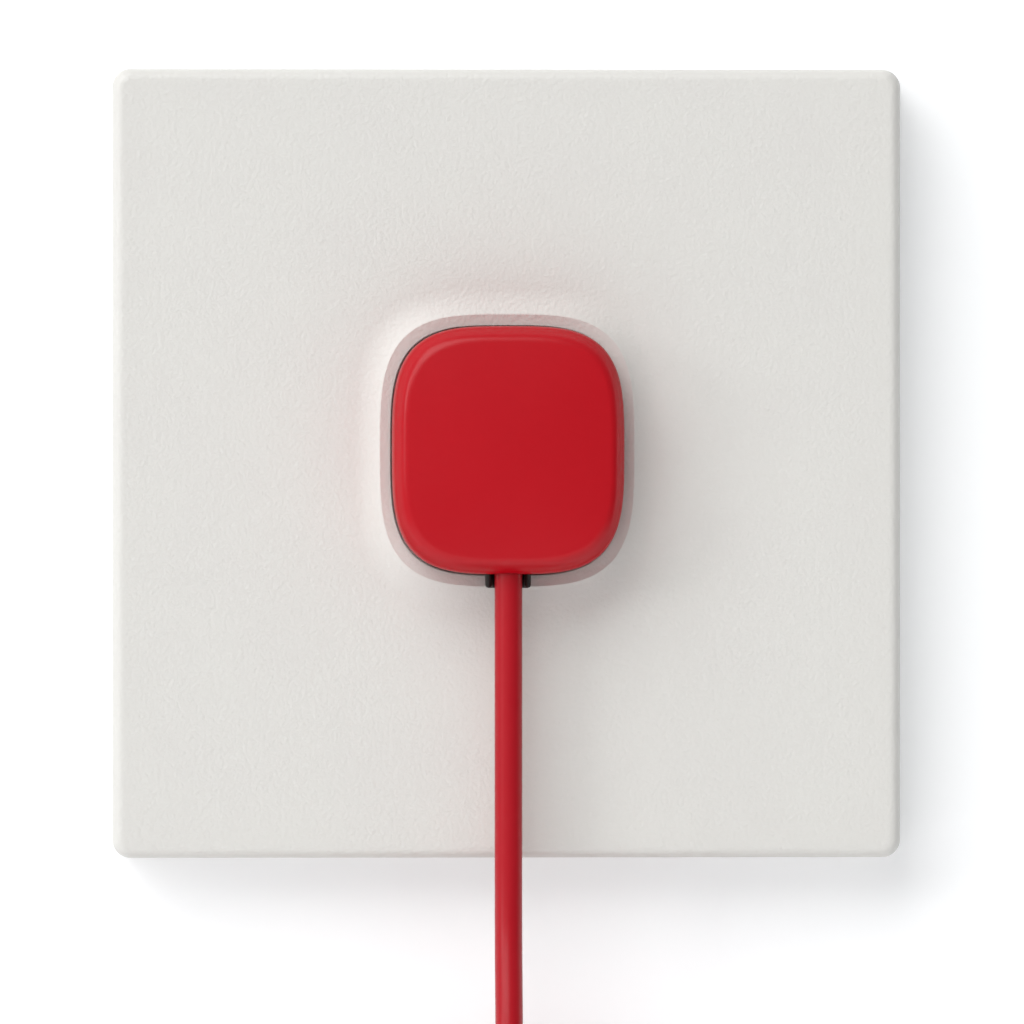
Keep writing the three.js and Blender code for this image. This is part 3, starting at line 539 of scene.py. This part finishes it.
# Acetal, moulded: dense warm white with a waxy sheen.
white_acetal = moulded("white_acetal", "#DEDBD2", "#D6D2C8", 0.36, 1.48, 3, 0.4, 0.003)

eased_node("snap_switch", "switch_body", 0.12, black_pbt, "wall_unit")
eased_node("trip_lever", "switch_lever", 0.04, stainless_strip, "lever")
eased_node("trip_plunger", "switch_plunger", 0.12, white_acetal, "plunger")


# Return springs. Two compression springs wound from 0.4 mm stainless wire, set on pegs between the
# tub's shelves and the slider. The real ones have their end turns closed; here the wire keeps one
# even pitch to its ends.
spring_wire = 0.4
spring_outside = 1.6
spring_turns = 7
steps_per_turn = 28
wire_sides = 10
# Drawn spring wire: bright and smooth.
spring_steel = metal("drawn_spring_wire", "#BFC0BE", "#ABACAA", 0.28, 0.8, 0.08, 0.001)

for node in ("return_spring_left", "return_spring_right"):
    low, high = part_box(node)
    middle_x = (low.x + high.x) / 2
    middle_y = (low.y + high.y) / 2
    wire_radius = spring_wire / 2 * mm
    rise = high.z - low.z - 2 * wire_radius
    coil_radius = spring_outside * mm - wire_radius
    bm = bmesh.new()
    section = bmesh.ops.create_circle(
        bm, segments=wire_sides, radius=wire_radius,
        matrix=Matrix.Translation((middle_x + coil_radius, middle_y, low.z + wire_radius))
        @ Matrix.Rotation(math.radians(90), 4, "X"))
    steps = steps_per_turn * spring_turns
    loop = list({edge for vert in section["verts"] for edge in vert.link_edges})
    bmesh.ops.spin(bm, geom=section["verts"] + loop, cent=(middle_x, middle_y, 0), axis=(0, 0, 1),
                   dvec=(0, 0, rise / steps), angle=math.tau * spring_turns, steps=steps,
                   use_merge=False)
    bmesh.ops.holes_fill(bm, edges=[edge for edge in bm.edges if edge.is_boundary], sides=0)
    spring = finished(node.replace("return", "coil"), bm, spring_steel)
    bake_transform(spring)
    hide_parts(node)


# Pull carriage. One moulding of black acetal: the slider, the neck through the plate and the head
# in the cap. Its cord guide shows as a small black lip below the cap.
# Acetal, black: very dark, warm, with a soft dull sheen.
black_acetal = moulded("black_acetal", "#1B1310", "#201714", 0.48, 1.48, 4, 0.4, 0.004, gloss=0.35)

eased_node("carriage", "pull_carriage", 0.3, black_acetal, "pull_head")


# Cord ferrule. A short brass sleeve crimped on the cord's end, which sits in the head's pocket.
# Drawn brass: warm yellow, softly brushed by the crimping tool.
crimped_brass = metal("crimped_brass", "#B5924C", "#A07F3E", 0.32, 1.2, 0.15, 0.003)

eased_node("crimp_sleeve", "cord_ferrule", 0.15, crimped_brass, "pull_head")


# Cover plate. A square white moulding, open at the back, with rounded edges and four snap hooks.
# Round the cap its face rises in a soft collar, and inside that lies a sunk seat with a window for
# the carriage's neck.
plate_side = 80
plate_depth = 10
plate_wall = 1.8
plate_corner = 1.85
plate_edge = 1.1
plate_inside = 8.2
seat_floor = 9.5
cap_width = 23.4
cap_height = 25.05
cap_centre = 1.32
cap_squareness = 3.5
collar_crest = cap_width / 2 + 1.17
collar_rise = 0.75
collar_slope = 2.6
ledge = 10.55
ledge_edge = cap_width / 2 + 0.12
outline_steps = 160
slope_steps = 12
edge_steps = 8
flat_border = 0.3             # keeps the shading of the flat face even
inside_corner = 0.4
same_level = 0.01
neck_window = ((-5.6, 5.6), (-5.6, 6.6))
latch_x = 9
latch_inner = 25.4
latch_outer = 27
latch_width = 5
latch_end = -1.5
barb_start = -0.3
barb_reach = 0.9


def to_cap_outline(bm):
    """Lays a turned shape down facing the front, its circles drawn out to the cap's outline."""
    bmesh.ops.rotate(bm, verts=bm.verts, cent=(0, 0, 0),
                     matrix=Matrix.Rotation(math.radians(90), 3, "X"))
    for vert in bm.verts:
        reach = math.hypot(vert.co.x, vert.co.z)
        if reach > 1e-9:
            sum_of_powers = (abs(vert.co.x / reach) ** cap_squareness
                             + abs(vert.co.z / reach) ** cap_squareness)
            draw = sum_of_powers ** (-1 / cap_squareness)
            vert.co.x *= draw
            vert.co.z *= draw * cap_height / cap_width
        vert.co.z += cap_centre * mm


def loop_at(edges, depth):
    """The open edges that lie at a depth."""
    return [edge for edge in edges if edge.is_boundary or edge.is_wire
            if abs(edge.verts[0].co.y + depth * mm) < same_level * mm]


def made(result, kind):
    """The new items of a kind that an operator made."""
    return [item for item in result["geom"] if isinstance(item, kind)]


def square_face(bm, side, corner, depth, segments):
    """A square with rounded corners, facing the front at a depth."""
    face = bmesh.ops.create_grid(bm, x_segments=1, y_segments=1, size=side / 2 * mm,
                                 matrix=Matrix.Translation((0, -depth * mm, 0))
                                 @ Matrix.Rotation(math.radians(90), 4, "X"))
    bmesh.ops.bevel(bm, geom=face["verts"], offset=corner * mm, affect="VERTICES",
                    segments=segments, profile=0.5, material=-1)


def latch(bm, x, side):
    """A snap hook on the plate's inside: a leg to behind the frame and a barb that slopes in."""
    root = plate_inside + plate_wall / 4
    section = [(latch_inner, root), (latch_outer, root), (latch_outer, barb_start),
               (latch_outer + barb_reach, barb_start - 0.15),
               (latch_outer + barb_reach, barb_start - 0.4),
               (latch_outer + 0.3, latch_end), (latch_inner, latch_end)]
    corners = [bm.verts.new(((x - latch_width / 2) * mm, -depth * mm, side * height * mm))
               for height, depth in section]
    end = bm.faces.new(corners)
    leg = bmesh.ops.extrude_face_region(bm, geom=[end], use_keep_orig=True)
    bmesh.ops.translate(bm, verts=made(leg, bmesh.types.BMVert), vec=(latch_width * mm, 0, 0))


def cover_plate():
    """The whole plate: collar and seat first, then the square front, its inside and the hooks."""
    crest_depth = plate_depth + collar_rise
    shares = [i / slope_steps for i in range(slope_steps)]
    slope = [(collar_crest + collar_slope + flat_border, plate_depth)]
    slope += [(collar_crest + collar_slope * (1 - share), plate_depth + collar_rise * share ** 2)
              for share in shares]
    slope.append((collar_crest + 0.12, crest_depth - 0.035))
    lip = [(collar_crest, crest_depth), (collar_crest - 0.1, crest_depth - 0.03),
           (ledge_edge + 0.06, ledge), (ledge_edge, ledge - 0.06), (ledge_edge, seat_floor)]
    bm = turned(slope + lip, outline_steps)
    to_cap_outline(bm)
    slope_foot = loop_at(bm.edges, plate_depth)
    seat_loop = loop_at(bm.edges, seat_floor)
    before = set(bm.faces)
    square_face(bm, plate_side, plate_corner, 0, 12)
    face = [f for f in bm.faces if f not in before]
    wall = bmesh.ops.extrude_face_region(bm, geom=face)
    front = made(wall, bmesh.types.BMFace)
    bmesh.ops.translate(bm, verts=made(wall, bmesh.types.BMVert),
                        vec=(0, -(plate_depth - plate_edge) * mm, 0))
    for i in range(edge_steps):
        low, high = [math.radians(90 * step / edge_steps) for step in (i, i + 1)]
        bmesh.ops.inset_region(bm, faces=front, use_even_offset=True,
                               thickness=plate_edge * (math.cos(low) - math.cos(high)) * mm,
                               depth=plate_edge * (math.sin(high) - math.sin(low)) * mm)
    bmesh.ops.inset_region(bm, faces=front, use_even_offset=True, thickness=flat_border * mm,
                           depth=0)
    front_loop = list(front[0].edges)
    bmesh.ops.delete(bm, geom=front + face, context="FACES_ONLY")
    bmesh.ops.triangle_fill(bm, edges=front_loop + slope_foot, use_beauty=True,
                            use_dissolve=False)
    (x0, x1), (z0, z1) = neck_window
    window = bmesh.ops.create_grid(
        bm, x_segments=1, y_segments=1, size=0.5 * mm,
        matrix=Matrix.Translation(((x0 + x1) / 2 * mm, -seat_floor * mm, (z0 + z1) / 2 * mm))
        @ Matrix.Diagonal((x1 - x0, 1, z1 - z0, 1)) @ Matrix.Rotation(math.radians(90), 4, "X"))
    window_face = window["verts"][0].link_faces[0]
    window_loop = list(window_face.edges)
    bmesh.ops.delete(bm, geom=[window_face], context="FACES_ONLY")
    bmesh.ops.triangle_fill(bm, edges=seat_loop + window_loop, use_beauty=True,
                            use_dissolve=False)
    sunk = bmesh.ops.extrude_edge_only(bm, edges=window_loop)
    sunk_loop = made(sunk, bmesh.types.BMEdge)
    bmesh.ops.translate(bm, verts=made(sunk, bmesh.types.BMVert),
                        vec=(0, (seat_floor - plate_inside) * mm, 0))
    before = set(bm.faces)
    square_face(bm, plate_side - 2 * plate_wall, inside_corner, plate_inside, 5)
    ceiling = [f for f in bm.faces if f not in before]
    ceiling_loop = list(ceiling[0].edges)
    bmesh.ops.delete(bm, geom=ceiling, context="FACES_ONLY")
    bmesh.ops.triangle_fill(bm, edges=ceiling_loop + sunk_loop, use_beauty=True,
                            use_dissolve=False)
    skirt = bmesh.ops.extrude_edge_only(bm, edges=ceiling_loop)
    bmesh.ops.translate(bm, verts=made(skirt, bmesh.types.BMVert), vec=(0, plate_inside * mm, 0))
    bmesh.ops.triangle_fill(bm, edges=loop_at(bm.edges, 0), use_beauty=True, use_dissolve=False)
    for x in (-latch_x, latch_x):
        latch(bm, x, 1)
        latch(bm, x, -1)
    return bm


# Polycarbonate, moulded from a finely eroded tool: warm white, a soft matt sheen and a fine even
# grain of about 0.4 mm, drawn deeper than the real one so that it shows.
white_plate = moulded("white_polycarbonate", "#E2E1DC", "#DFDDD9", 0.42, 1.55, 9, 0.42, 0.06)

plate = finished("front_plate", cover_plate(), white_plate, "wall_unit", crease=24)
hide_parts("cover_plate")


# Pull cap. A red pillow moulded in one piece with a wall of 1.4 mm, pressed over the carriage's
# head. Its face bulges a little and rolls into the sides. The cord leaves through its lower wall.
cap_rim = 11.1
cap_front = 18.2
cap_crown = 0.7
cap_wall = 1.4
roll_width = 1.6
roll_depth = 3.0
roll_steps = 14
face_steps = 8
rim_round = 0.25
inside_wall_end = 15.2
inside_face = 16.8
hole_radius = 1.7
lip_room = 2.575
lip_room_depth = 15.1


def crown_at(radius):
    """How far the face bulges out at a radius."""
    return cap_crown * (1 - (radius / (cap_width / 2)) ** 2)


def cut_away(bm, cutter):
    """A shape less the room that a cutter takes up."""
    shapes = []
    for name, shape in (("blank", bm), ("cutter", cutter)):
        mesh = bpy.data.meshes.new(name)
        shape.to_mesh(mesh)
        shape.free()
        shapes.append(bpy.data.objects.new(name, mesh))
        bpy.context.scene.collection.objects.link(shapes[-1])
    blank, tool = shapes
    cut = blank.modifiers.new("cut", "BOOLEAN")
    cut.operation = "DIFFERENCE"
    cut.solver = "EXACT"
    cut.object = tool
    left = bmesh.new()
    left.from_object(blank, bpy.context.evaluated_depsgraph_get())
    for shape in shapes:
        bpy.data.meshes.remove(shape.data)
    return left


def pull_cap():
    """The cap's shell, drawn to its outline, with the cord's hole and the lip's notch."""
    half = cap_width / 2
    face = half - roll_width
    shoulder = cap_front + crown_at(face) - roll_depth
    outside = [(0, cap_front + cap_crown)]
    for i in range(1, face_steps):
        radius = face * i / face_steps
        outside.append((radius, cap_front + crown_at(radius)))
    for i in range(roll_steps + 1):
        way = math.radians(90 * i / roll_steps)
        outside.append((face + roll_width * math.sin(way), shoulder + roll_depth * math.cos(way)))
    outside += [(half, 13.5), (half, 12), (half, cap_rim + rim_round),
                (half - 0.07, cap_rim + 0.07), (half - rim_round, cap_rim)]
    inside_half = half - cap_wall
    inside = [(inside_half + 0.2, cap_rim), (inside_half, cap_rim + 0.2),
              (inside_half, inside_wall_end), (inside_half - 0.2, 16.1),
              (inside_half - 0.9, inside_face + crown_at(inside_half)),
              (inside_half * 0.5, inside_face + crown_at(inside_half * 0.5)),
              (0, inside_face + cap_crown)]
    bm = turned(outside + inside, outline_steps)
    to_cap_outline(bm)
    bmesh.ops.recalc_face_normals(bm, faces=bm.faces)
    wall_middle = (cap_centre - cap_height / 2 + cap_wall / 2) * mm
    through = (cap_wall + 2) * mm
    hole = bmesh.new()
    bmesh.ops.create_cone(hole, cap_ends=True, segments=48, radius1=hole_radius * mm,
                          radius2=hole_radius * mm, depth=through,
                          matrix=Matrix.Translation((0, -cord_depth * mm, wall_middle)))
    notch_back = cap_rim - 1
    notch = bmesh.new()
    bmesh.ops.create_cube(notch, size=1, matrix=Matrix.Translation(
        (0, -(notch_back + lip_room_depth) / 2 * mm, wall_middle))
        @ Matrix.Diagonal((2 * lip_room * mm, (lip_room_depth - notch_back) * mm, through, 1)))
    return cut_away(cut_away(bm, notch), hole)


# Polycarbonate, moulded: saturated red with a satin skin and a fine grain that softens
# highlights.
red_polycarbonate = moulded("red_polycarbonate", "#BC0719", "#B70617", 0.31, 1.5, 8, 0.4, 0.007)
# The face and its roll are polished; the side walls, drawn past the mould, stay duller.
polished_from = 17.9
dull_below = 17.0
polish = 0.3
dull_gloss = 0.03
tree = red_polycarbonate.node_tree
place = add(tree, "ShaderNodeTexCoord").outputs["Object"]
depth = add(tree, "ShaderNodeSeparateXYZ", {0: place}).outputs["Y"]
gloss = add(tree, "ShaderNodeMapRange", {0: depth, 1: -polished_from * mm, 2: -dull_below * mm,
                                         3: polish, 4: dull_gloss})
tree.links.new(gloss.outputs[0], tree.nodes["Principled BSDF"].inputs["Specular IOR Level"])

cap = finished("pull_cap_shell", pull_cap(), red_polycarbonate, "pull_head", crease=50)
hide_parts("pull_cap")
